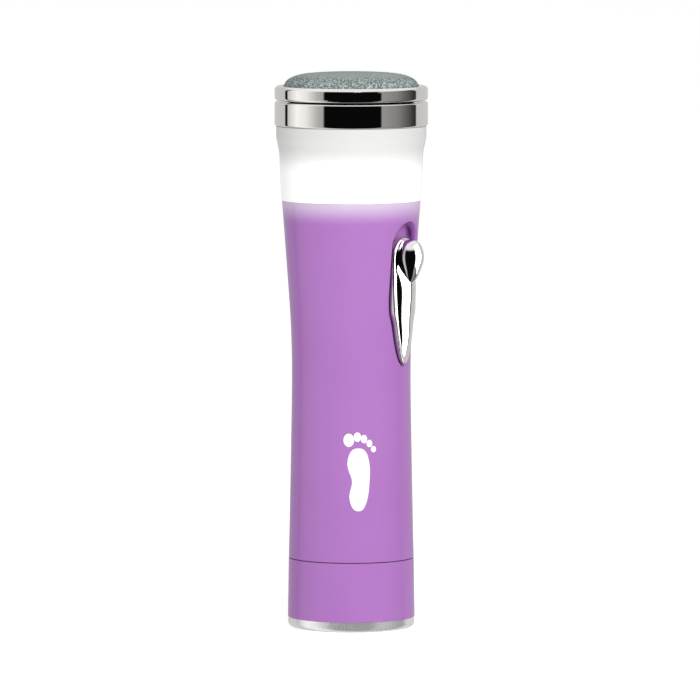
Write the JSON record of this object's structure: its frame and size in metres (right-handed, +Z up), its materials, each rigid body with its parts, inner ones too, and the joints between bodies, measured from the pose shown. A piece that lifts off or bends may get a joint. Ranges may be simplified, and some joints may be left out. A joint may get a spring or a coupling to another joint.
{
  "type": "electric callus remover",
  "caption": "Hand-held battery callus remover: waisted round handle, lit window ring and a spinning domed abrasive disc driven by a motor, gears and a sliding thumb switch.",
  "frame": {"origin": "centre of the foot's underside, on the surface that the part stands on", "axes": "+Z up the handle to the abrasive disc, -Y towards the thumb switch, +X to the right when the switch faces the viewer"},
  "size_m": [0.045, 0.0465, 0.1634],
  "materials": {
    "purple_shell": "glossy moulded plastic, paler at its top",
    "frosted_window": "frosted translucent plastic",
    "chrome_trim": "mirror-bright plating",
    "silver_foot": "bright silver",
    "abrasive_grit": "bonded mineral grit, grey-green",
    "white_plastic": "moulded, natural",
    "black_plastic": "moulded, fine grain",
    "nylon_gear": "natural nylon",
    "steel": "bright zinc or turned steel",
    "contact_metal": "nickel plate",
    "brass": "turned",
    "rubber_seal": "nitrile rubber",
    "cell_jacket": "printed jacket, metal ends",
    "magnet": "sintered",
    "armature": "steel stack with enamelled copper",
    "circuit_board": "green solder mask",
    "light_board": "white solder mask",
    "light_source": "clear-domed diode packages",
    "capacitor_sleeve": "sleeved can",
    "lead_red": "soft insulation",
    "lead_black": "soft insulation"
  },
  "bodies": {
    "base": {"battery_cap": "purple_shell", "base_foot": "silver_foot", "foot_screws": "steel", "cap_seal": "rubber_seal", "cap_contact": "contact_metal", "contact_screw": "steel", "cap_spring": "contact_metal"},
    "cells": {"cell_up": "cell_jacket", "cell_down": "cell_jacket"},
    "handle": {"handle_shell": "purple_shell", "window_ring": "frosted_window", "head_collar": "chrome_trim", "head_deck": "white_plastic", "deck_screws": "steel", "battery_sleeve": "white_plastic", "sleeve_screws": "steel", "positive_contact": "contact_metal", "negative_contact": "contact_metal", "sleeve_spring": "contact_metal", "motor_frame": "white_plastic", "motor_can": "steel", "motor_end_bell": "black_plastic", "motor_terminals": "contact_metal", "motor_magnets": "magnet", "motor_screws": "steel", "idler_pin": "steel", "upper_plate": "white_plastic", "frame_pillars": "steel", "plate_screws": "steel", "lower_bush": "brass", "head_bush": "brass", "shaft_seal": "rubber_seal", "control_board": "circuit_board", "board_capacitor": "capacitor_sleeve", "driver_chip": "black_plastic", "slide_switch_body": "black_plastic", "led_board": "light_board", "leds": "light_source", "battery_lead_positive": "lead_red", "battery_lead_negative": "lead_black", "motor_leads": "lead_red", "led_leads": "lead_black"},
    "rotor": {"motor_shaft": "steel", "motor_armature": "armature", "motor_pinion": "brass"},
    "idler": {"idler_gear": "nylon_gear"},
    "spindle": {"output_shaft": "steel", "output_gear": "nylon_gear", "drive_head": "brass"},
    "disc": {"disc_hub": "white_plastic", "disc_rim": "chrome_trim", "abrasive_pad": "abrasive_grit"},
    "switch": {"switch_button": "chrome_trim", "switch_slider": "white_plastic", "switch_knob": "black_plastic", "slider_screw": "steel"}
  },
  "joints": [
    {"name": "handle_lift", "type": "slide", "parent": "base", "child": "handle", "axis": [0, 0, 1], "range_m": [0, 0.075]},
    {"name": "cells_lift", "type": "slide", "parent": "base", "child": "cells", "axis": [0, 0, 1], "range_m": [0, 0.03]},
    {"name": "spindle_spin", "type": "hinge", "parent": "handle", "child": "spindle", "pos_m": [0, 0, 0.13], "axis": [0, 0, 1], "continuous": true},
    {"name": "idler_spin", "type": "hinge", "parent": "handle", "child": "idler", "pos_m": [0, 0.009, 0.1], "axis": [0, 0, 1], "continuous": true},
    {"name": "rotor_spin", "type": "hinge", "parent": "handle", "child": "rotor", "pos_m": [0, 0, 0.08], "axis": [0, 0, 1], "continuous": true},
    {"name": "disc_lift", "type": "slide", "parent": "spindle", "child": "disc", "axis": [0, 0, 1], "range_m": [0, 0.02]},
    {"name": "switch_slide", "type": "slide", "parent": "handle", "child": "switch", "axis": [0, 0, 1], "range_m": [0, 0.004]}
  ],
  "couplings": [
    {"joint": "cells_lift", "follows": "handle_lift", "ratio": 0.35},
    {"joint": "idler_spin", "follows": "spindle_spin", "ratio": -2.6},
    {"joint": "rotor_spin", "follows": "spindle_spin", "ratio": 6.76}
  ]
}
